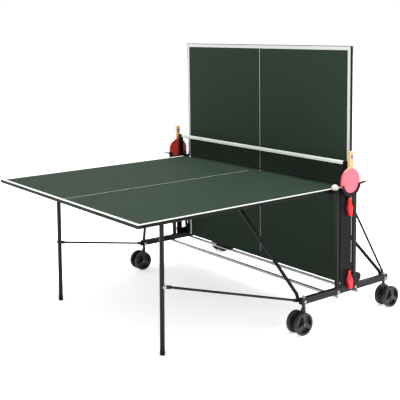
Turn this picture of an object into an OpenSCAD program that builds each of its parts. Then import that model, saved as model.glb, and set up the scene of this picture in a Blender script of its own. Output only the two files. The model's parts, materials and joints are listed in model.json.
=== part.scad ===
// Rollaway folding table tennis table, playback position: one half down for play, the other folded up.
// Millimetres. +Z up, X along the playing length, Y across. Origin: floor level, middle of the outline.
// Each half: a leaf turns on two sliders that run on upright posts, its legs stay upright through
// long links, and slanting stays brace it from the wheeled chassis.

/* [Playing top] */
// Length of one leaf along X
leaf_length = 1370; // [1365:1:1372]
// Width of the top along Y
leaf_width = 1525; // [1521:1:1527]
// Height of the playing surface above the floor
top_height = 760; // [757:1:763]
// Depth of the metal apron round each leaf
apron_depth = 17; // [16:0.5:19]
// Thickness of the board inside the apron
board_thickness = 12; // [11:0.5:12.5]
// Gap between the two leaves when both are down
leaf_gap = 6; // [5:0.5:8]

/* [Net] */
// Height of the net's top edge above the playing surface
net_height = 152; // [148:0.5:153]
// Gap under the net
net_gap = 10; // [8:1:14]
// Depth of the net's light top band
net_band = 24; // [15:1:28]

/* [Chassis] */
// Centre plane of the side frames, measured from the middle of the table
frame_y = 785; // [784.5:0.5:786]
// Side of the square guide posts
post_side = 20; // [18:0.5:20.5]
// Distance of the guide posts from the net line
guide_x = 68; // [67:0.5:69]
// Half length of the bottom beams
beam_half = 350; // [348:1:360]
// Diameter of the tubes that join the two side frames
cross_dia = 20; // [18:1:20]

/* [Castors] */
// Wheel diameter
wheel_dia = 125; // [120:1:128]
// Thickness of each of the twin discs
disc_thickness = 24; // [22:1:26]
// Distance of the swivel stems from the net line
castor_x = 330; // [328:1:334]
// Distance of the axle behind the stem
castor_trail = 30; // [28:1:34]

/* [Legs, links and stays] */
// Diameter of the leg tubes
leg_dia = 25; // [22:1:25]
// Distance of the legs from the middle of the table
leg_y = 550; // [549:0.5:551]
// Diameter of the stays
stay_dia = 20; // [18:1:20]
// Diameter of the leg links
link_dia = 13; // [12:0.5:13]

/* [Bats and balls] */
// Width of a bat's blade
blade_dia = 146; // [144:1:150]
// Ball diameter
ball_dia = 40; // [39:0.5:40]

/* [Hidden] */
eps = 0.01;
steel = "#555555";
dark = "#333333";
zinc = "#c8c8c8";
red = "#e6202a";

// The outline's middle lies beside the net, because only one half is down.
wheel_r = wheel_dia / 2;
net_x = (leaf_gap / 2 + leaf_length - castor_x - castor_trail - wheel_r) / 2;

// Each leaf's pivot: under its playing surface, in line with the inner face of its guide posts.
pivot_x = 72;
pivot_drop = 18;
pivot_up = top_height - pivot_drop;
pivot_down = pivot_up - 494;
edge_b = leaf_gap / 2 - pivot_x;          // inner edge, measured outward from the pivot
board_under = pivot_drop - board_thickness;
apron_under = pivot_drop - apron_depth;
pin_r = 5;

// Points of the linkage, as [outward, up] in the chassis, and [outward, below the pivot] on a leaf.
stay_foot = [340, 182];
link_foot = [348, 180];
stay_head = [452.4, 12];
leg_head = [1023, 20];
leg_lean = 10;
leg_drop = top_height - pivot_drop - leg_head[1];
link_drop = 358.8;
stay_y = 430;
stay_foot_y = 752;
link_foot_y = 768;
link_head_y = leg_y + 19;
function on_leaf(n, p) = n == 1 ? [pivot_x + p[0], pivot_up - p[1]] : [pivot_x + p[1], pivot_down + p[0]];
function leg_point(n, drop) = on_leaf(n, leg_head) + [leg_lean * drop / leg_drop, -drop];

// Side frame levels.
beam_low = 162;
beam_top = 197;
beam_w = 25;
beam_out = frame_y + beam_w / 2;
beam_in = frame_y - beam_w / 2;
post_top = 749;
head_top = 761;
cross_x = 80;
cross_z = beam_low - cross_dia / 2;
plate_x = [-58, 21];
plate_y = [797.7, 800.5];
plate_fold = 34;
lever_y = 808.5;
lever_spots = [[0, 705], [5, 282]];

// Bat, holder and ball.
bat_c = [5, 794];
bat_y = 812;
wood_t = 6;
rubber_t = 3;
cup_r = blade_dia / 2 + 0.8;
cup_wall = 4;
cup_y = [804, 821];
ball_c = [-93, 788, 772];
ball_seat = 9.4;

// Placing helpers.
module place() { translate([net_x, 0, 0]) children(); }
module opposite() { rotate([0, 0, 180]) children(); }
module right_side() { rotate([0, 0, 180]) children(); }
module half(n) { rotate([0, 0, n == 1 ? 180 : 0]) children(); }
module on_both_edges() { for (s = [0, 1]) mirror([0, s, 0]) children(); }
module leaf_pose(n) {
    half(n) translate([pivot_x, 0, n == 1 ? pivot_up : pivot_down]) rotate([0, n == 1 ? 0 : -90, 0]) children();
}
// A box between two corners.
module span(a, b) { translate(a) cube(b - a); }
// A cylinder along Y between two distances from the middle, at [x, z], on the +Y side.
module along_y(p, y0, y1, r, fn = 32) {
    translate([p[0], y0, p[1]]) rotate([-90, 0, 0]) cylinder(r = r, h = y1 - y0, $fn = fn);
}
// A round bar between two points.
module rod(a, b, r, fn = 32) {
    d = b - a;
    translate(a) rotate([0, acos(d[2] / norm(d)), atan2(d[1], d[0])]) cylinder(r = r, h = norm(d), $fn = fn);
}
// A flat round-ended tab in the XZ plane between two [x, z] points.
module tab(a, b, y0, y1, r) { hull() { along_y(a, y0, y1, r); along_y(b, y0, y1, r); } }
module hexagon(r, h) { cylinder(r = r, h = h, $fn = 6); }
// An upright flat outline, drawn in [x, z], from y0 to y1.
module upright(y0, y1) { translate([0, y1, 0]) rotate([90, 0, 0]) linear_extrude(y1 - y0) children(); }

// Chassis.
module beam() {
    difference() {
        span([-beam_half, beam_in, beam_low], [beam_half, beam_out, beam_top]);
        span([-beam_half - 1, beam_in + 2, beam_low + 2], [beam_half + 1, beam_out - 2, beam_top - 2]);
        for (s = [-1, 1]) translate([s * castor_x, frame_y, beam_low - 1]) cylinder(r = 8.4, h = 60, $fn = 32);
    }
}
module beam_left() { color(steel) place() mirror([0, 1, 0]) beam(); }
module beam_right() { color(steel) place() beam(); }
module end_caps() {
    color(dark) place() for (a = [0, 180]) rotate([0, 0, a]) {
        for (s = [-1, 1]) span([s * (beam_half + 2) - 2, beam_in, beam_low], [s * (beam_half + 2) + 2, beam_out, beam_top]);
        translate([guide_x - post_side / 2, frame_y - post_side / 2, post_top]) cube([post_side, post_side, 1.5]);
    }
}
module guide_posts() {
    color(steel) place() on_both_edges() for (s = [-1, 1]) translate([s * guide_x, frame_y, beam_top]) difference() {
        translate([-post_side / 2, -post_side / 2, 0]) cube([post_side, post_side, post_top - beam_top]);
        translate([2 - post_side / 2, 2 - post_side / 2, -1])
            cube([post_side - 4, post_side - 4, post_top - beam_top + 2]);
    }
}
module cross_tube() {
    difference() {
        along_y([cross_x, cross_z], -beam_out - 2, beam_out + 2, cross_dia / 2);
        along_y([cross_x, cross_z], -beam_out - 3, beam_out + 3, cross_dia / 2 - 2);
    }
}
module cross_tube_1() { color(zinc) place() opposite() cross_tube(); }
module cross_tube_2() { color(zinc) place() cross_tube(); }
module cross_tube_caps() {
    color("#dddddd") place() on_both_edges() for (s = [-1, 1]) {
        along_y([s * cross_x, cross_z], beam_out - 8, beam_out + 2, cross_dia / 2 - 2);
        along_y([s * cross_x, cross_z], beam_out + 2, beam_out + 4, cross_dia / 2);
    }
}
module rest_pads() {
    color(dark) place() difference() {
        along_y([cross_x, cross_z], 320, 480, cross_dia / 2 + 2);
        along_y([cross_x, cross_z], 319, 481, cross_dia / 2);
        span([cross_x - 20, 319, cross_z - 20], [cross_x + 20, 481, cross_z]);
    }
}
// Panel between the posts; drawn on the +Y side with the ball end toward +X.
module side_plate() {
    upright(plate_y[0], plate_y[1]) difference() {
        polygon([[-plate_x[1] - 14, beam_top], [-plate_x[0], beam_top], [-plate_x[0], post_top],
            [-plate_x[1], post_top], [-plate_x[1], beam_top + 150], [-plate_x[1] - 14, beam_top + 120]]);
        translate([10, beam_top + 36]) square([28, 60]);
    }
    span([-plate_x[1] - 14, beam_in + 2, beam_top], [plate_fold, plate_y[0], beam_top + 3]);
    span([-plate_x[1], beam_in + 2, post_top - 3], [plate_fold, plate_y[0], post_top]);
}
module side_plate_left() { color(steel) place() right_side() side_plate(); }
module side_plate_right() { color(steel) place() side_plate(); }
// Cap rail on top of one post and the panel, carrying the net post and the holder.
module head_bars() {
    color(steel) place() for (a = [0, 180]) rotate([0, 0, a]) difference() {
        span([-90, 768, post_top], [41, cup_y[0], head_top]);
        span([-54, 772, post_top - 1], [-14, cup_y[0] - 4, head_top - 3]);
        span([-10, 772, post_top - 1], [36, cup_y[0] - 4, head_top - 3]);
    }
}
module net_posts() {
    color(dark) place() on_both_edges() {
        span([-12, 768, head_top], [12, 792, top_height + net_height - 14]);
        hull() {
            span([-12, 768, top_height + net_height - 14], [12, 792, top_height + net_height - 6]);
            span([-9, 771, top_height + net_height - 2], [9, 789, top_height + net_height]);
        }
    }
}
module net() {
    low = top_height + net_gap;
    high = top_height + net_height;
    color("#243028") place() {
        span([-1, -768, low], [1, 768, high]);
        span([-2.5, -768, high - net_band], [2.5, 768, high]);
        span([-2, -768, low], [2, 768, low + 8]);
    }
}
// Cradle for the bat and ring for the ball; drawn on the +Y side, ball toward +X.
module bat_holder() {
    c = [-bat_c[0], bat_c[1]];
    arm_z = 753.5;
    module sector(r0, r1) {
        translate(c) difference() {
            circle(r = r1, $fn = 64);
            circle(r = r0, $fn = 64);
            translate([-r1 - 1, -8]) square([2 * r1 + 2, r1 + 10]);
            translate([64 - c[0], -r1]) square(2 * r1);
        }
    }
    upright(cup_y[0], cup_y[1]) sector(cup_r, cup_r + cup_wall);
    upright(cup_y[0], cup_y[0] + 1.6) sector(blade_dia / 2 - 15, cup_r + cup_wall);
    upright(cup_y[1] - 2, cup_y[1]) sector(blade_dia / 2 - 15, cup_r + cup_wall);
    upright(cup_y[0], cup_y[1]) polygon([[c[0] - cup_r - 1, 786], [-130, 789], [-130, 783], [c[0] - cup_r - 1, 777]]);
    // Tie from the cradle's back to the rail.
    span([-40, cup_y[0], 727], [30, cup_y[0] + 1.6, head_top]);
    // Ball ring on a short arm.
    difference() {
        union() {
            translate([-ball_c[0], ball_c[1], arm_z]) cylinder(r = 22, h = ball_c[2] - ball_seat - arm_z, $fn = 48);
            span([41, 778, arm_z], [78, 798, arm_z + 5]);
            span([56, 796, arm_z], [66, cup_y[0] + 1.6, arm_z + 5]);
        }
        translate([-ball_c[0], ball_c[1], arm_z - 1]) cylinder(r = 18.1, h = 20, $fn = 48);
    }
}
module bat_holder_left() { color(dark) place() right_side() bat_holder(); }
module bat_holder_right() { color(dark) place() bat_holder(); }
// Base and two ears with a pin for each lock lever.
module lock_housings() {
    color(dark) place() for (a = [0, 180], spot = lever_spots) rotate([0, 0, a]) translate([-spot[0], 0, spot[1]]) {
        span([-14, plate_y[1], -10], [14, plate_y[1] + 1.2, 8]);
        for (s = [-1, 1]) span([s * 10.3 - 1.7, plate_y[1], -7], [s * 10.3 + 1.7, lever_y + 4, 7]);
        translate([-11, lever_y, 0]) rotate([0, 90, 0]) cylinder(r = 2.5, h = 22, $fn = 24);
    }
}
module chassis_bolts() {
    color(zinc) place() on_both_edges() for (s = [-1, 1]) {
        for (x = [70, castor_x]) translate([s * x, beam_out, 176]) rotate([-90, 0, 0]) {
            cylinder(r = 9, h = 1.5, $fn = 24);
            hexagon(7, 6);
        }
        translate([s * castor_x, frame_y, beam_top]) {
            cylinder(r = 11, h = 2, $fn = 32);
            hexagon(9, 9);
        }
    }
}

// Sliders, one on each post of a half, open on the outside, with the pin the leaf turns on.
module sliders(n) {
    z = n == 1 ? pivot_up : pivot_down;
    hole = post_side / 2 + 0.4;
    half(n) on_both_edges() translate([pivot_x, 0, z]) {
        difference() {
            upright(767.5, 797) polygon([[-36, -46], [-34, -48], [22, -48], [44, -30], [46, -8], [36, 6], [-36, 6]]);
            translate([guide_x - pivot_x, 0, 0]) span([-hole, frame_y - hole, -50], [hole, frame_y + hole, 8]);
            along_y([2, -8], frame_y, 803, 6);
        }
        along_y([0, 0], 748, 769, pin_r);
    }
}
module sliders_1() { color(dark) place() sliders(1); }
module sliders_2() { color(dark) place() sliders(2); }

// Leaf parts, drawn in the leaf's own frame: origin on the pivot line, +X outward, +Z to the surface.
apron_wall = 3;
leaf_out = edge_b + leaf_length;
module board() {
    w = leaf_width / 2 - apron_wall;
    span([edge_b + apron_wall, -w, board_under], [leaf_out - apron_wall, w, pivot_drop]);
}
module board_1() { color("#3f4f43") place() leaf_pose(1) board(); }
module board_2() { color("#3f4f43") place() leaf_pose(2) board(); }
module apron() {
    w = leaf_width / 2;
    difference() {
        span([edge_b, -w, apron_under], [leaf_out, w, pivot_drop - 0.2]);
        span([edge_b + apron_wall, apron_wall - w, apron_under - 1],
            [leaf_out - apron_wall, w - apron_wall, pivot_drop + 1]);
        on_both_edges() span([-7, w - 5, apron_under - 1], [7, w + 1, board_under]);
    }
}
module apron_1() { color("#606260") place() leaf_pose(1) apron(); }
module apron_2() { color("#606260") place() leaf_pose(2) apron(); }
module crossbars() {
    for (bar = [[150, 700], [620, 515], [1225, 700]])
        span([bar[0] - 13, -bar[1], board_under - 16], [bar[0] + 13, bar[1], board_under]);
}
module crossbars_1() { color(steel) place() leaf_pose(1) crossbars(); }
module crossbars_2() { color(steel) place() leaf_pose(2) crossbars(); }
module pivot_brackets() {
    on_both_edges() difference() {
        union() {
            span([-20, 751, -5], [20, 756, board_under]);
            along_y([0, 0], 751, 756, 13);
            span([-20, 735, board_under - 3], [20, 756, board_under]);
        }
        along_y([0, 0], 740, 760, pin_r + 0.4);
        span([-30, 700, board_under], [30, 760, 30]);
    }
}
module pivot_brackets_1() { color(steel) place() leaf_pose(1) pivot_brackets(); }
module pivot_brackets_2() { color(steel) place() leaf_pose(2) pivot_brackets(); }
module stay_hinges() {
    on_both_edges() translate([stay_head[0], 0, 0]) {
        span([-22, stay_y - 24, board_under - 3], [22, stay_y + 12, board_under]);
        hull() {
            span([-16, stay_y - 10, board_under - 3], [16, stay_y - 5, board_under - 2]);
            along_y([0, -stay_head[1]], stay_y - 10, stay_y - 5, 9);
        }
        along_y([0, -stay_head[1]], stay_y - 6, stay_y + 6, 4);
        along_y([0, -stay_head[1]], stay_y + 5, stay_y + 8, 7, 24);
    }
}
module stay_hinges_1() { color(zinc) place() leaf_pose(1) stay_hinges(); }
module stay_hinges_2() { color(zinc) place() leaf_pose(2) stay_hinges(); }
module leg_hinges() {
    for (y = [-515, -200, 200, 515]) translate([leg_head[0], y, 0]) difference() {
        union() {
            span([-18, -3, -leg_head[1]], [18, 3, board_under]);
            span([-18, -12, board_under - 3], [18, 12, board_under]);
            along_y([0, -leg_head[1]], -3, 3, 16);
        }
        along_y([0, -leg_head[1]], -4, 4, 10.4);
    }
}
module leg_hinges_1() { color(steel) place() leaf_pose(1) leg_hinges(); }
module leg_hinges_2() { color(steel) place() leaf_pose(2) leg_hinges(); }
module leaf_rest() {
    reach = pivot_down - cross_z - cross_dia / 2 - 2.5;
    span([edge_b + apron_wall, 310, apron_under - 1], [edge_b + 40, 490, board_under]);
    span([edge_b, 310, -20], [edge_b + 40, 490, apron_under]);
    span([-reach, 310, -20], [edge_b + 5, 490, apron_under - 1]);
}
module leaf_rest_1() { color(zinc) place() leaf_pose(1) leaf_rest(); }
module leaf_rest_2() { color(zinc) place() leaf_pose(2) leaf_rest(); }

// Legs: two tubes on a hinge tube, always upright.
module leg_frame(n) {
    head = on_leaf(n, leg_head);
    boss = leg_point(n, link_drop);
    top = leg_point(n, -10);
    foot = leg_point(n, leg_drop - 6);
    half(n) {
        along_y(head, 12 - leg_y, leg_y - 12, 10);
        on_both_edges() {
            rod([foot[0], leg_y, foot[1]], [top[0], leg_y, top[1]], leg_dia / 2);
            along_y(head, leg_y - 20, leg_y + leg_dia / 2 + 2, 10);
            along_y(boss, leg_y, link_head_y - 3.6, 9);
            along_y(boss, leg_y, link_head_y + 4, 4);
            along_y(boss, link_head_y + 3.5, link_head_y + 8, 7, 6);
        }
    }
}
module leg_frame_1() { color(steel) place() leg_frame(1); }
module leg_frame_2() { color(steel) place() leg_frame(2); }
module feet(n) {
    foot = leg_point(n, leg_drop);
    half(n) on_both_edges() translate([foot[0], leg_y, foot[1]]) difference() {
        union() {
            cylinder(r1 = 13, r2 = 13.8, h = 3, $fn = 40);
            translate([0, 0, 3]) cylinder(r = 13.8, h = 24, $fn = 40);
        }
        rod([-leg_lean * 6 / leg_drop, 0, 6], [-leg_lean * 40 / leg_drop, 0, 40], leg_dia / 2);
    }
}
module feet_1() { color("#222222") place() feet(1); }
module feet_2() { color("#222222") place() feet(2); }

// A bar with a flat eye at each end; p and q are [x, z], the eyes lie at yp and yq, t thick.
module eyed_bar(p, q, yp, yq, t, r, reach_p, reach_q, bore_p, bore_q) {
    u = (q - p) / norm(q - p);
    a = p + reach_p * u;
    b = q - reach_q * u;
    difference() {
        union() {
            tab(p, a, yp - t / 2, yp + t / 2, 9);
            tab(q, b, yq - t / 2, yq + t / 2, 9);
            rod([a[0] - 6 * u[0], yp, a[1] - 6 * u[1]], [b[0] + 6 * u[0], yq, b[1] + 6 * u[1]], r);
        }
        if (bore_p > 0) along_y(p, yp - t, yp + t, bore_p);
        if (bore_q > 0) along_y(q, yq - t, yq + t, bore_q);
        // The foot end stays clear of what lies outside it.
        translate([p[0] - 200, yp + t / 2, p[1] - 200]) cube([400, 30, 400]);
    }
}
module stays(n) {
    head = on_leaf(n, stay_head);
    half(n) on_both_edges() {
        eyed_bar(stay_foot, head, stay_foot_y, stay_y, 8, stay_dia / 2, 40, 44, 0, 4.4);
        along_y(stay_foot, stay_foot_y + 3, link_foot_y - 4, 5.5);
        along_y(stay_foot, stay_foot_y - 9, stay_foot_y - 3, 7, 6);
    }
}
module stays_1() { color(steel) place() stays(1); }
module stays_2() { color(steel) place() stays(2); }
module leg_links(n) {
    head = leg_point(n, link_drop);
    half(n) on_both_edges() {
        eyed_bar(link_foot, head, link_foot_y, link_head_y, 6, link_dia / 2, 40, 40, 0, 4.4);
    }
}
module leg_links_1() { color(steel) place() leg_links(1); }
module leg_links_2() { color(steel) place() leg_links(2); }

// Castors, numbered round the chassis from the near outer corner of the half that is down.
corners = [[-1, -1], [1, -1], [1, 1], [-1, 1]];
module at_castor(k) {
    c = corners[k - 1];
    place() translate([c[0] * castor_x, c[1] * frame_y, 0]) rotate([0, 0, c[0] > 0 ? 0 : 180]) children();
}
module castor_fork() {
    difference() {
        union() {
            hull() {
                along_y([castor_trail, wheel_r], -12, 12, 15);
                along_y([4, 118], -10, 10, 11);
            }
            hull() {
                along_y([4, 118], -10, 10, 11);
                translate([0, 0, 128]) cylinder(r = 11, h = 12, $fn = 32);
            }
            translate([0, 0, 138]) cylinder(r = 9.5, h = 20, $fn = 32);
            translate([0, 0, 150]) cylinder(r = 8, h = 45, $fn = 32);
        }
        along_y([castor_trail, wheel_r], -20, 20, 6.4);
    }
}
module castor_wheels() {
    in_y = 18;
    out_y = in_y + disc_thickness;
    translate([castor_trail, 0, wheel_r]) {
        rotate([90, 0, 0]) translate([0, 0, -out_y - 4]) cylinder(r = 6, h = 2 * out_y + 8, $fn = 32);
        on_both_edges() difference() {
            union() {
                rotate([-90, 0, 0]) rotate_extrude($fn = 72) polygon([[5, in_y], [wheel_r - 4, in_y],
                    [wheel_r - 1, in_y + 2], [wheel_r, in_y + 6], [wheel_r, out_y - 6],
                    [wheel_r - 1, out_y - 2], [wheel_r - 4, out_y], [wheel_r - 9, out_y - 1],
                    [14, out_y - 1], [14, out_y + 2], [5, out_y + 2]]);
                along_y([0, 0], out_y, out_y + 6, 8, 6);
            }
            for (a = [90, 210, 330]) translate([0, out_y - 13, 0]) rotate([-90, 0, 0])
                linear_extrude(20) intersection() {
                    difference() { circle(r = 49, $fn = 64); circle(r = 18, $fn = 40); }
                    polygon(concat([[9 * cos(a), 9 * sin(a)]], [for (d = [-50, 0, 50]) [100 * cos(a + d), 100 * sin(a + d)]]));
                }
        }
    }
}
module castor_fork_1() { color(dark) at_castor(1) castor_fork(); }
module castor_fork_2() { color(dark) at_castor(2) castor_fork(); }
module castor_fork_3() { color(dark) at_castor(3) castor_fork(); }
module castor_fork_4() { color(dark) at_castor(4) castor_fork(); }
module castor_wheels_1() { color("#484848") at_castor(1) castor_wheels(); }
module castor_wheels_2() { color("#484848") at_castor(2) castor_wheels(); }
module castor_wheels_3() { color("#484848") at_castor(3) castor_wheels(); }
module castor_wheels_4() { color("#484848") at_castor(4) castor_wheels(); }

// Lock levers, hanging from their pins.
module lever(k) {
    spot = lever_spots[k];
    translate([-spot[0], lever_y, spot[1]]) difference() {
        union() {
            rotate([0, 90, 0]) translate([0, 0, -8.2]) cylinder(r = 6, h = 16.4, $fn = 32);
            span([-6, -4, -14], [6, 5, -2]);
            hull() {
                span([-6, -4, -16], [6, 5, -10]);
                along_y([-3, -56], -5.5, 12.5, 17);
                along_y([-8, -94], -5.5, 12, 8);
            }
        }
        translate([-12, 0, 0]) rotate([0, 90, 0]) cylinder(r = 2.9, h = 24, $fn = 24);
    }
}
module lever_upper_left() { color(red) place() right_side() lever(0); }
module lever_upper_right() { color(red) place() lever(0); }
module lever_lower_left() { color(red) place() right_side() lever(1); }
module lever_lower_right() { color(red) place() lever(1); }

// Bat, handle up; drawn on the +Y side.
module at_bat() { translate([-bat_c[0], bat_y, bat_c[1]]) children(); }
module blade(r) { hull() { circle(r = r, $fn = 72); translate([0, 9]) circle(r = r, $fn = 72); } }
module bat_wood() {
    at_bat() {
        upright(-wood_t / 2, wood_t / 2) {
            blade(blade_dia / 2);
            polygon([[-30, 70], [30, 70], [14, 92], [-14, 92]]);
        }
        hull() {
            span([-13, -9, 90], [13, 9, 92]);
            span([-11, -9, 124], [11, 9, 126]);
            span([-14, -10, 172], [14, 10, 176]);
        }
    }
}
module bat_rubbers() {
    at_bat() for (s = [-1, 1]) translate([0, s * (wood_t + rubber_t) / 2, 0])
        upright(-rubber_t / 2, rubber_t / 2) intersection() {
            blade(blade_dia / 2 - 1);
            translate([-80, -80]) square([160, 157]);
        }
}
module bat_left_wood() { color("#dcb98a") place() right_side() bat_wood(); }
module bat_left_rubbers() { color("#ff6070") place() right_side() bat_rubbers(); }
module bat_right_wood() { color("#dcb98a") place() bat_wood(); }
module bat_right_rubbers() { color("#a52d28") place() bat_rubbers(); }
module ball() { translate([-ball_c[0], ball_c[1], ball_c[2]]) sphere(d = ball_dia, $fn = 40); }
module ball_left() { color("#f4f4f0") place() right_side() ball(); }
module ball_right() { color("#f4f4f0") place() ball(); }

beam_left();
beam_right();
end_caps();
guide_posts();
cross_tube_1();
cross_tube_2();
cross_tube_caps();
side_plate_left();
side_plate_right();
head_bars();
net_posts();
net();
bat_holder_left();
bat_holder_right();
lock_housings();
chassis_bolts();
rest_pads();
sliders_1();
sliders_2();
board_1();
board_2();
apron_1();
apron_2();
crossbars_1();
crossbars_2();
pivot_brackets_1();
pivot_brackets_2();
stay_hinges_1();
stay_hinges_2();
leg_hinges_1();
leg_hinges_2();
leaf_rest_1();
leaf_rest_2();
leg_frame_1();
leg_frame_2();
feet_1();
feet_2();
stays_1();
stays_2();
leg_links_1();
leg_links_2();
castor_fork_1();
castor_fork_2();
castor_fork_3();
castor_fork_4();
castor_wheels_1();
castor_wheels_2();
castor_wheels_3();
castor_wheels_4();
lever_upper_left();
lever_upper_right();
lever_lower_left();
lever_lower_right();
bat_left_wood();
bat_left_rubbers();
bat_right_wood();
bat_right_rubbers();
ball_left();
ball_right();
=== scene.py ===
import json
import math

import bmesh
import bpy
from mathutils import Matrix, Vector


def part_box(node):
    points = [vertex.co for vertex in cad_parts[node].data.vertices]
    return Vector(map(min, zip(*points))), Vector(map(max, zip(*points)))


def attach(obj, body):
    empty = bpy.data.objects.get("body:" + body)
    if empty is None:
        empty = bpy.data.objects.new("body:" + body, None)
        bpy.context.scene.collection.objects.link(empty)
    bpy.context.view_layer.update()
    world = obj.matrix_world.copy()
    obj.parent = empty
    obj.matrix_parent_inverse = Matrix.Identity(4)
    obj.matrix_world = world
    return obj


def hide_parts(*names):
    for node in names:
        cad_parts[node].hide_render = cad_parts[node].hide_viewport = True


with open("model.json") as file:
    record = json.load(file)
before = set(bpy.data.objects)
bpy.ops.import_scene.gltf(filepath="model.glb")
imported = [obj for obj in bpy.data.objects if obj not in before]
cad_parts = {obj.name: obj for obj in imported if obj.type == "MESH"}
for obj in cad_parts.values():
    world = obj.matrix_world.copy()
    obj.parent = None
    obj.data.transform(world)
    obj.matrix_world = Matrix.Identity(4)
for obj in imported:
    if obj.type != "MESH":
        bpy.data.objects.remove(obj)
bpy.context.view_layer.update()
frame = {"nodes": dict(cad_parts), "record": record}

NODES = frame["nodes"]

# Places in the CAD, in metres.
NET_X = sum(corner[0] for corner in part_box("beam_left")) / 2
STAY_FOOT = (0.340, 0.182)  # distance from the net line, and height
STAY_BOLT_Y = 0.749
LINK_BOLT_Y = 0.5725
PIVOTS = {joint["name"]: joint.get("pos_m") for joint in frame["record"]["behaviour"]["joints"]}
HALVES = {1: -1, 2: 1}  # which way each half lies from the net
SIDES = {"left": -1, "right": 1}


# ---------------------------------------------------------------- materials

def linear(*srgb):
    """8-bit sRGB to a linear RGBA colour."""
    values = [c / 255 for c in srgb]
    return tuple(c / 12.92 if c <= 0.04045 else ((c + 0.055) / 1.055) ** 2.4
                 for c in values) + (1.0,)


def scaled(colour, factor):
    """The same colour, darker or lighter."""
    return tuple(min(1, c * factor) for c in colour[:3]) + (1.0,)


# Lines of the playing face, in metres.
LINE_WIDTH = 0.020
CENTRE_WIDTH = 0.003
CENTRE_STOP = 0.036  # the centre line ends this far from the net

BOARD_GREEN = linear(37, 48, 40)
LINE_WHITE = linear(180, 183, 180)
WORN_APRON = linear(104, 104, 102)
WORN_STEEL = linear(84, 84, 82)

# Noise sizes, in cells per metre.
DRIFT_CELLS = 7
ROUGH_CELLS = 35
WEAR_CELLS = 60
ORANGE_PEEL_CELLS = 420
PIMPLE_CELLS = 420

ROUGH_SWING = 0.07
WEAR_RADIUS = 0.0012
WEAR_STRENGTH = 0.6


class Nodes:
    """Short calls for building one material's node tree."""

    def __init__(self, name):
        self.material = bpy.data.materials.new(name)
        self.material.use_nodes = True
        self.tree = self.material.node_tree
        self.shader = self.tree.nodes["Principled BSDF"]
        places = self.tree.nodes.new("ShaderNodeTexCoord").outputs
        self.coords, self.normal = places["Object"], places["Normal"]

    def add(self, kind, **inputs):
        """A new node; each keyword sets or links a socket, or else sets a property."""
        node = self.tree.nodes.new("ShaderNode" + kind)
        for key, value in inputs.items():
            socket = key.replace("_", " ")
            if socket in node.inputs:
                self.feed(node.inputs[socket], value)
            else:
                setattr(node, key, value)
        return node

    def feed(self, socket, value):
        if isinstance(value, bpy.types.NodeSocket):
            self.tree.links.new(value, socket)
        else:
            socket.default_value = value

    def gloss(self, level):
        self.shader.inputs["Specular IOR Level"].default_value = level

    def math(self, operation, a, b=0.0):
        node = self.add("Math", operation=operation)
        for socket, value in zip(node.inputs, (a, b)):
            self.feed(socket, value)
        return node.outputs[0]

    def ramp(self, value, low, high, to_low=0.0, to_high=1.0):
        """Maps low..high to to_low..to_high, clamped."""
        node = self.add("MapRange", Value=value, From_Min=low, From_Max=high, To_Min=to_low,
                        To_Max=to_high)
        return node.outputs["Result"]

    def mix(self, factor, a, b):
        node = self.add("Mix", data_type="RGBA")
        colour_sockets = (0, 6, 7)
        for index, value in zip(colour_sockets, (factor, a, b)):
            self.feed(node.inputs[index], value)
        return node.outputs[2]

    def noise(self, cells, detail=3.0, stretch=(1, 1, 1)):
        mapping = self.add("Mapping", Vector=self.coords, Scale=stretch)
        noise = self.add("TexNoise", Vector=mapping.outputs[0], Scale=cells, Detail=detail)
        return noise.outputs["Fac"]

    def split(self):
        return self.add("SeparateXYZ", Vector=self.coords).outputs

    def bump(self, height, strength, distance=0.0005):
        node = self.add("Bump", Height=height, Strength=strength, Distance=distance)
        self.feed(self.shader.inputs["Normal"], node.outputs[0])

    def edge_mask(self):
        """White on outer edges, broken up by noise."""
        bevel = self.add("Bevel", Radius=WEAR_RADIUS)
        geometry = self.add("NewGeometry")
        dot = self.add("VectorMath", operation="DOT_PRODUCT")
        self.feed(dot.inputs[0], bevel.outputs[0])
        self.feed(dot.inputs[1], geometry.outputs["Normal"])
        edge = self.ramp(dot.outputs["Value"], 0.97, 0.80)
        return self.math("MULTIPLY", edge, self.ramp(self.noise(WEAR_CELLS), 0.42, 0.62))


def finish_material(m, colour, rough, vary, wear=None):
    """Colour and roughness that drift over the surface, with worn edges if wear is a colour."""
    drift = m.ramp(m.noise(DRIFT_CELLS, 5), 0.3, 0.7)
    shade = m.mix(drift, scaled(colour, 1 - vary), scaled(colour, 1 + vary))
    if wear:
        shade = m.mix(m.math("MULTIPLY", m.edge_mask(), WEAR_STRENGTH), shade, wear)
    m.feed(m.shader.inputs["Base Color"], shade)
    m.feed(m.shader.inputs["Roughness"],
           m.ramp(m.noise(ROUGH_CELLS, 4), 0.3, 0.7, rough - ROUGH_SWING, rough + ROUGH_SWING))
    return shade


def paint(name, colour, rough, vary, wear, gloss):
    """Satin powder coat with a faint orange peel."""
    m = Nodes(name)
    finish_material(m, colour, rough, vary, wear)
    m.bump(m.noise(ORANGE_PEEL_CELLS, 2), strength=0.12)
    m.gloss(gloss)
    return m.material


def plastic(name, colour, rough=0.5, vary=0.08, grain=900, depth=0.25, wear=None, gloss=0.35):
    """Moulded plastic with a fine spark-eroded grain."""
    m = Nodes(name)
    finish_material(m, colour, rough, vary, wear)
    m.bump(m.noise(grain, 2), strength=depth, distance=0.0003)
    m.gloss(gloss)
    return m.material


def plated(name, colour, rough=0.32, stretch=(1, 1, 1)):
    """Zinc plate with faint drawing lines and cloudy patches."""
    m = Nodes(name)
    finish_material(m, colour, rough, vary=0.12)
    m.shader.inputs["Metallic"].default_value = 0.75
    m.bump(m.noise(160, 4, stretch), strength=0.15, distance=0.0002)
    return m.material


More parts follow.
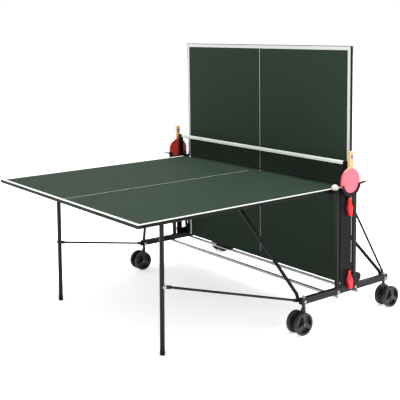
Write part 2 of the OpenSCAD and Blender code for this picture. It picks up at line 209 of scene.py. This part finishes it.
def board(name, outward, inner, outer, half_width):
    """Painted board, with white side, end and centre lines on its playing face only.

    outward is the axis from its net end, at inner, to its far end, at outer: 0 for X, where the
    playing face looks along +Z, or 2 for Z, where it looks along -X.
    """
    m = Nodes(name)
    along, across = m.split()[outward], m.math("ABSOLUTE", m.split()[1])
    facing = m.add("SeparateXYZ", Vector=m.normal).outputs[2 - outward]
    looks = 1.0 if outward == 0 else -1.0
    face = m.math("GREATER_THAN", m.math("MULTIPLY", facing, looks), 0.5)
    sign = 1 if outer > inner else -1
    depth = m.math("MULTIPLY", m.math("SUBTRACT", outer, along), sign)
    side = m.math("GREATER_THAN", across, half_width - LINE_WIDTH)
    end = m.math("LESS_THAN", depth, LINE_WIDTH)
    near_net = m.math("GREATER_THAN", depth, abs(outer - inner) - CENTRE_STOP)
    centre = m.math("MULTIPLY", m.math("LESS_THAN", across, CENTRE_WIDTH / 2),
                    m.math("SUBTRACT", 1.0, near_net))
    border = m.math("MAXIMUM", side, end)
    m.gloss(0.025)
    green = finish_material(m, BOARD_GREEN, rough=0.68, vary=0.01)
    solid = m.ramp(m.noise(90, 4), 0.2, 0.5, 0.9, 1.0)
    lines = m.math("MAXIMUM", m.math("MULTIPLY", centre, 0.85), m.math("MULTIPLY", border, solid))
    shade = m.mix(m.math("MULTIPLY", lines, face), green, LINE_WHITE)
    m.feed(m.shader.inputs["Base Color"], shade)
    m.bump(m.noise(1400, 2), strength=0.05, distance=0.0002)
    return m.material


def wood(name, colour, tape_colour, tape_top):
    """Fine straight grain along Z with darker pores, and edge tape on the blade below tape_top."""
    m = Nodes(name)
    grain = m.noise(110, 6, (1, 1, 0.05))
    pores = m.noise(600, 3, (1, 1, 0.03))
    dark = scaled(colour, 0.62)
    shade = m.mix(m.ramp(grain, 0.35, 0.7), colour, dark)
    shade = m.mix(m.ramp(pores, 0.6, 0.8, 0.0, 0.5), shade, dark)
    shade = m.mix(m.math("LESS_THAN", m.split()[2], tape_top), shade, tape_colour)
    m.feed(m.shader.inputs["Base Color"], shade)
    m.feed(m.shader.inputs["Roughness"], m.ramp(grain, 0.3, 0.7, 0.38, 0.52))
    m.bump(pores, strength=0.2, distance=0.0002)
    return m.material


def rubber(name, colour):
    """Bat rubber with rows of small pimples."""
    m = Nodes(name)
    finish_material(m, colour, rough=0.45, vary=0.07)
    pimples = m.add("TexVoronoi", Vector=m.coords, Scale=PIMPLE_CELLS)
    heights = m.ramp(pimples.outputs["Distance"], 0.25, 0.45, 1.0, 0.0)
    m.bump(heights, strength=0.35, distance=0.0003)
    return m.material


def woven(name, colour, threads=700):
    """Woven tape: two crossed sets of threads, so many to the metre."""
    m = Nodes(name)
    finish_material(m, colour, rough=0.85, vary=0.12)
    axes = m.split()
    warp = m.math("SINE", m.math("MULTIPLY", axes[1], threads * math.tau))
    weft = m.math("SINE", m.math("MULTIPLY", axes[2], threads * math.tau))
    m.bump(m.math("MULTIPLY", warp, weft), strength=0.4, distance=0.0003)
    m.gloss(0.12)
    return m.material


TAPE_STOP = 0.012  # the bat's edge tape ends this far under the top of the rubbers
tape_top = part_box("bat_left_rubbers")[1][2] - TAPE_STOP
low_1, high_1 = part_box("board_1")
low_2, high_2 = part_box("board_2")
GREEN_1 = board("board_paint_down", 0, inner=high_1[0], outer=low_1[0], half_width=high_1[1])
GREEN_2 = board("board_paint_up", 2, inner=low_2[2], outer=high_2[2], half_width=high_2[1])

APRON = paint("apron_grey_enamel", linear(16, 18, 16), 0.5, 0.08, WORN_APRON, gloss=0.08)
STEEL = paint("frame_grey_enamel", linear(10, 10, 11), 0.34, 0.10, WORN_STEEL, gloss=0.16)
PANEL = paint("panel_black_enamel", linear(11, 11, 12), 0.45, 0.10, linear(60, 60, 60), gloss=0.08)
BLACK = plastic("black_moulded", linear(9, 9, 10), 0.48, 0.10, gloss=0.12)
CASTOR = plastic("castor_black", linear(14, 14, 15), 0.42, 0.10)
WHEEL = plastic("wheel_grey", linear(19, 19, 20), 0.5, 0.12, 500, 0.3, wear=linear(70, 70, 70))
# Near-black sheets for the wheels' pockets: painted shade, darkening the recesses where shade
# falls.
POCKET_PAINTED_SHADE = plastic("wheel_pocket_painted_shade", linear(4, 4, 4), 0.7, 0.1)
ZINC = plated("zinc_plate", linear(150, 151, 149))
TUBE_ZINC = plated("zinc_tube", linear(176, 177, 175), 0.36, (1, 0.05, 1))
PALE = plastic("pale_caps", linear(120, 120, 118), 0.5)
RED = plastic("lever_red", linear(222, 22, 30), 0.32, 0.06, 700, 0.12, wear=linear(240, 90, 90))
WOOD = wood("bat_ply", linear(214, 172, 122), linear(196, 54, 62), tape_top)
PINK = rubber("bat_rubber_pink", linear(250, 92, 108))
# The right bat's rubber is painted darker than the left's: painted shade on the same red rubber,
# for the bat's shaded face.
RED_RUBBER_PAINTED_SHADE = rubber("bat_rubber_red_painted_shade", linear(165, 44, 40))
BALL = plastic("ball_white", linear(168, 169, 165), 0.38, 0.03, 300, 0.1)
TAPE_LIGHT = woven("net_tape_light", linear(196, 200, 196))
TAPE_DARK = woven("net_tape_dark", linear(12, 18, 14))
CORD = woven("net_cord_green", linear(5, 10, 7), 900)
LABEL = plastic("grip_label_blue", linear(52, 96, 170), 0.4)

# The first prefix that fits a node's name gives its material.
FINISHES = [
    ("board_1", GREEN_1), ("board_2", GREEN_2), ("apron", APRON),
    ("cross_tube_caps", PALE), ("cross_tube", TUBE_ZINC),
    ("chassis_bolts", ZINC), ("stay_hinges", ZINC),
    ("side_plate", PANEL), ("head_bars", PANEL),
    ("leaf_rest", BLACK), ("end_caps", BLACK), ("bat_holder", BLACK), ("lock_housings", BLACK),
    ("rest_pads", BLACK), ("sliders", BLACK), ("feet", BLACK), ("net_posts", BLACK),
    ("castor_fork", CASTOR), ("castor_wheels", WHEEL), ("lever", RED),
    ("bat_left_rubbers", PINK), ("bat_right_rubbers", RED_RUBBER_PAINTED_SHADE), ("bat", WOOD),
    ("ball", BALL), ("", STEEL),
]
for name, node in NODES.items():
    finish = next(material for prefix, material in FINISHES if name.startswith(prefix))
    node.data.materials.clear()
    node.data.materials.append(finish)

# ---------------------------------------------------------------- edges of the CAD parts

SOFT_EDGES = {
    "beam": 0.0025, "guide_posts": 0.0022, "apron": 0.0010, "crossbars": 0.0015,
    "side_plate": 0.0010, "head_bars": 0.0012, "net_posts": 0.0010, "end_caps": 0.0008,
    "lock_housings": 0.0008, "leaf_rest": 0.0010,
}
SOFT_ANGLE = math.radians(50)
for name, node in NODES.items():
    width = next((w for prefix, w in SOFT_EDGES.items() if name.startswith(prefix)), None)
    if width:
        bevel = node.modifiers.new("soft_edges", "BEVEL")
        bevel.width, bevel.segments = width, 2
        bevel.limit_method, bevel.angle_limit = "ANGLE", SOFT_ANGLE


# ---------------------------------------------------------------- mesh helpers

SHARP_ANGLE = math.radians(35)


def piece(name, bm, material, body, smooth=True):
    """Turns a bmesh into a named piece that rides on a body."""
    bmesh.ops.recalc_face_normals(bm, faces=bm.faces)
    mesh = bpy.data.meshes.new(name)
    bm.to_mesh(mesh)
    bm.free()
    obj = bpy.data.objects.new(name, mesh)
    bpy.context.scene.collection.objects.link(obj)
    mesh.materials.append(material)
    if smooth:
        mesh.shade_smooth()
        mesh.set_sharp_from_angle(angle=SHARP_ANGLE)
    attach(obj, body)
    return obj


def loft(bm, rings):
    """Skins rings of the same number of points and closes both ends."""
    loops = [[bm.verts.new(point) for point in ring] for ring in rings]
    count = len(loops[0])
    for a, b in zip(loops, loops[1:]):
        for i in range(count):
            bm.faces.new((a[i], a[(i + 1) % count], b[(i + 1) % count], b[i]))
    bm.faces.new(loops[0])
    bm.faces.new(loops[-1])


def turned(bm, centre, axis, profile, count=32):
    """A turned solid: profile is (radius, distance along axis) pairs."""
    turn = Vector((0, 0, 1)).rotation_difference(Vector(axis)).to_matrix()
    angles = [math.tau * k / count for k in range(count)]
    loft(bm, [[Vector(centre) + turn @ Vector((radius * math.cos(a), radius * math.sin(a), along))
               for a in angles] for radius, along in profile])


def bolt(bm, centre, axis, radius=0.008, height=0.006):
    """A washer with a chamfered hexagon head on it."""
    washer, chamfer = 0.0015, 0.0004
    turned(bm, centre, axis, [(radius * 1.25, 0), (radius * 1.35, chamfer),
                              (radius * 1.35, washer - chamfer), (radius * 1.25, washer)])
    head = Vector(centre) + Vector(axis) * washer
    turned(bm, head, axis, [(radius, 0), (radius, height * 0.72), (radius * 0.86, height)], 6)


# ---------------------------------------------------------------- net

net_low, net_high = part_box("net")
NET_EDGE = net_high[1]
MESH_EDGE = NET_EDGE - 0.002
BAND, BAND_HALF_THICK = 0.021, 0.0024
HEM, HEM_HALF_THICK = 0.008, 0.0018
CORD_R = 0.0012
PITCH = 0.0120
TAPE_STEPS = 60

# Outline of each tape's side: part of its half thickness, and height above its lower edge.
# The dips are the rows of stitches.
BAND_SIDE = [(0.55, 0.0), (1, 0.001), (0.7, 0.003), (1, 0.006), (1, BAND - 0.006),
             (0.7, BAND - 0.003), (0.55, BAND)]
HEM_SIDE = [(0.55, 0.0), (1, 0.001), (0.7, 0.003), (1, 0.006), (1, HEM / 2 + 0.0005),
            (1, HEM - 0.0015), (0.55, HEM)]


def net_cord(bm, start, end):
    """A six-sided cord between two points."""
    direction = (end - start).normalized()
    turned(bm, start, direction, [(CORD_R, 0), (CORD_R, (end - start).length)], 6)


def tape(name, low, side, half_thick, material):
    """A folded tape along the net: side is its outline, mirrored for the other side."""
    outline = [(NET_X + part * half_thick, low + up) for part, up in side]
    outline += [(NET_X - part * half_thick, low + up) for part, up in reversed(side)]
    band = bmesh.new()
    loft(band, [[Vector((x, -NET_EDGE + 2 * NET_EDGE * k / TAPE_STEPS, z)) for x, z in outline]
                for k in range(TAPE_STEPS + 1)])
    return piece(name, band, material, "chassis")


mesh_low, mesh_high = net_low[2] + HEM / 2, net_high[2] - BAND / 2
bm = bmesh.new()
columns = int(2 * MESH_EDGE / PITCH)
for k in range(columns + 1):
    y = -MESH_EDGE + 2 * MESH_EDGE * k / columns
    net_cord(bm, Vector((NET_X, y, mesh_low)), Vector((NET_X, y, mesh_high)))
rows = int((mesh_high - mesh_low) / PITCH)
for k in range(1, rows):
    z = mesh_low + (mesh_high - mesh_low) * k / rows
    net_cord(bm, Vector((NET_X, -MESH_EDGE, z)), Vector((NET_X, MESH_EDGE, z)))
net_mesh = piece("net_mesh", bm, CORD, "chassis")
net_band = tape("net_band", net_high[2] - BAND, BAND_SIDE, BAND_HALF_THICK, TAPE_LIGHT)
net_hem = tape("net_hem", net_low[2], HEM_SIDE, HEM_HALF_THICK, TAPE_DARK)
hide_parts("net")

# ---------------------------------------------------------------- bolts of the links and stays

for n, outward in HALVES.items():
    stay_bolts, link_bolts = bmesh.new(), bmesh.new()
    link_head = PIVOTS[f"links_{n}_fold"]
    for side in SIDES.values():
        foot = (NET_X + outward * STAY_FOOT[0], side * STAY_BOLT_Y, STAY_FOOT[1])
        bolt(stay_bolts, foot, (0, -side, 0))
        head = (link_head[0], side * LINK_BOLT_Y, link_head[2])
        bolt(link_bolts, head, (0, side, 0), 0.0075)
    piece(f"stay_bolts_{n}", stay_bolts, ZINC, f"stay_pair_{n}")
    piece(f"link_bolts_{n}", link_bolts, ZINC, f"legs_{n}")

# ---------------------------------------------------------------- castors

HUB_R, POCKET_R = 0.019 * 1.25, 0.048
RIM_PROUD = 0.006  # the hub's faces lie this far inside the tyre's
POCKET_DEPTH, SHADE_SHEET_THICK = 0.0122, 0.0006
POCKET_TURNS = (90, 210, 330)
POCKET_HALF_ANGLE, POCKET_STEP = 36, 9

for k in (1, 2, 3, 4):
    low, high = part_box(f"castor_wheels_{k}")
    centre = [(a + b) / 2 for a, b in zip(low, high)]
    face = (high[1] - low[1]) / 2 - RIM_PROUD
    caps, painted_shade_sheets = bmesh.new(), bmesh.new()
    for side in (-1, 1):
        bolt(caps, (centre[0], centre[1] + side * face, centre[2]), (0, side, 0), 0.0095, 0.0042)
        # Near-black sheets laid just above each pocket's bottom are painted shade for the recess,
        # not a part of the wheel.
        for turn in POCKET_TURNS:
            arc = [math.radians(turn + step)
                   for step in range(-POCKET_HALF_ANGLE, POCKET_HALF_ANGLE + 1, POCKET_STEP)]
            corners = [(POCKET_R, a) for a in arc]
            corners += [(HUB_R, a) for a in (arc[-3], arc[len(arc) // 2], arc[2])]
            loft(painted_shade_sheets, [[Vector((centre[0] + r * math.cos(a), centre[1] + side * (face - depth),
                                   centre[2] - r * math.sin(a))) for r, a in corners]
                          for depth in (POCKET_DEPTH, POCKET_DEPTH - SHADE_SHEET_THICK)])
    piece(f"axle_caps_{k}", caps, ZINC, f"wheel_{k}")
    piece(f"wheel_pocket_painted_shades_{k}", painted_shade_sheets, POCKET_PAINTED_SHADE, f"wheel_{k}", smooth=False)

# ---------------------------------------------------------------- bat grips

LABEL_DROP = 0.030  # from the top of the grip to the middle of its label
LENS_HALF_WIDTH, LENS_HALF_HEIGHT = 0.0085, 0.011
LENS_POINTS = 24
LENS_RINGS = ((1, 0.0088), (1, 0.0101), (0.9, 0.0106))  # size, and distance from the bat's middle

lens = [(LENS_HALF_WIDTH * math.cos(a), LENS_HALF_HEIGHT * math.sin(a))
        for a in (math.tau * i / LENS_POINTS for i in range(LENS_POINTS))]
for side in SIDES:
    low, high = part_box(f"bat_{side}_wood")
    x, y, z = (low[0] + high[0]) / 2, (low[1] + high[1]) / 2, high[2] - LABEL_DROP
    label = bmesh.new()
    for face in (-1, 1):
        loft(label, [[Vector((x + u * size, y + face * out, z + v * size)) for u, v in lens]
                     for size, out in LENS_RINGS])
    piece(f"grip_label_{side}", label, LABEL, f"bat_{side}")

# ---------------------------------------------------------------- floor, light and camera

FLOOR_HALF = 30
FLOOR_CORNERS = ((-1, -1), (1, -1), (1, 1), (-1, 1))
WHITE = (1, 1, 1, 1)

floor_mesh = bpy.data.meshes.new("floor")
floor_mesh.from_pydata([(x * FLOOR_HALF, y * FLOOR_HALF, 0) for x, y in FLOOR_CORNERS], [],
                       [(0, 1, 2, 3)])
floor = bpy.data.objects.new("floor", floor_mesh)
bpy.context.scene.collection.objects.link(floor)
pale = Nodes("floor_pale")
pale.shader.inputs["Base Color"].default_value = (0.92, 0.92, 0.92, 1)
pale.shader.inputs["Roughness"].default_value = 0.9
pale.shader.inputs["Emission Color"].default_value = WHITE
pale.shader.inputs["Emission Strength"].default_value = 0.5
floor_mesh.materials.append(pale.material)

world = bpy.data.worlds.new("studio")
world.use_nodes = True
world.node_tree.nodes["Background"].inputs["Color"].default_value = WHITE
world.node_tree.nodes["Background"].inputs["Strength"].default_value = 1.0
bpy.context.scene.world = world
bpy.context.scene.view_settings.view_transform = "Standard"


def soft_light(name, position, target, size, power):
    """A large round area light aimed at a point."""
    data = bpy.data.lights.new(name, "AREA")
    data.shape, data.size, data.energy = "DISK", size, power
    lamp = bpy.data.objects.new(name, data)
    bpy.context.scene.collection.objects.link(lamp)
    lamp.location = position
    lamp.rotation_mode = "QUATERNION"
    lamp.rotation_quaternion = (Vector(target) - Vector(position)).to_track_quat("-Z", "Y")


soft_light("key", (-1.0, -0.5, 7.5), (-0.4, 0, 0.7), size=4.0, power=880)
soft_light("fill", (2.0, -6.0, 3.5), (0, 0, 0.6), size=4.0, power=120)

# The photograph's viewing angle: heading from +Y towards +X, dip below level, and roll.
CAMERA_AT = Vector((NET_X - 3.3763, -3.8716, 1.6742))
HEADING, DIP, ROLL = (math.radians(a) for a in (37.326, 7.153, -0.772))
SENSOR_WIDTH, LENS, SHIFT_Y = 36.0, 73.63, -0.18

forward = Vector((math.sin(HEADING) * math.cos(DIP), math.cos(HEADING) * math.cos(DIP),
                  -math.sin(DIP)))
level = Vector((math.cos(HEADING), -math.sin(HEADING), 0))
above = level.cross(forward)
right = level * math.cos(ROLL) + above * math.sin(ROLL)
up = above * math.cos(ROLL) - level * math.sin(ROLL)
camera_data = bpy.data.cameras.new("camera")
camera_data.sensor_width = SENSOR_WIDTH
camera_data.lens = LENS
camera_data.shift_y = SHIFT_Y
camera_data.clip_end = 200
camera = bpy.data.objects.new("camera", camera_data)
bpy.context.scene.collection.objects.link(camera)
turn = Matrix((right, up, -forward)).transposed().to_4x4()
camera.matrix_world = Matrix.Translation(CAMERA_AT) @ turn
bpy.context.scene.camera = camera
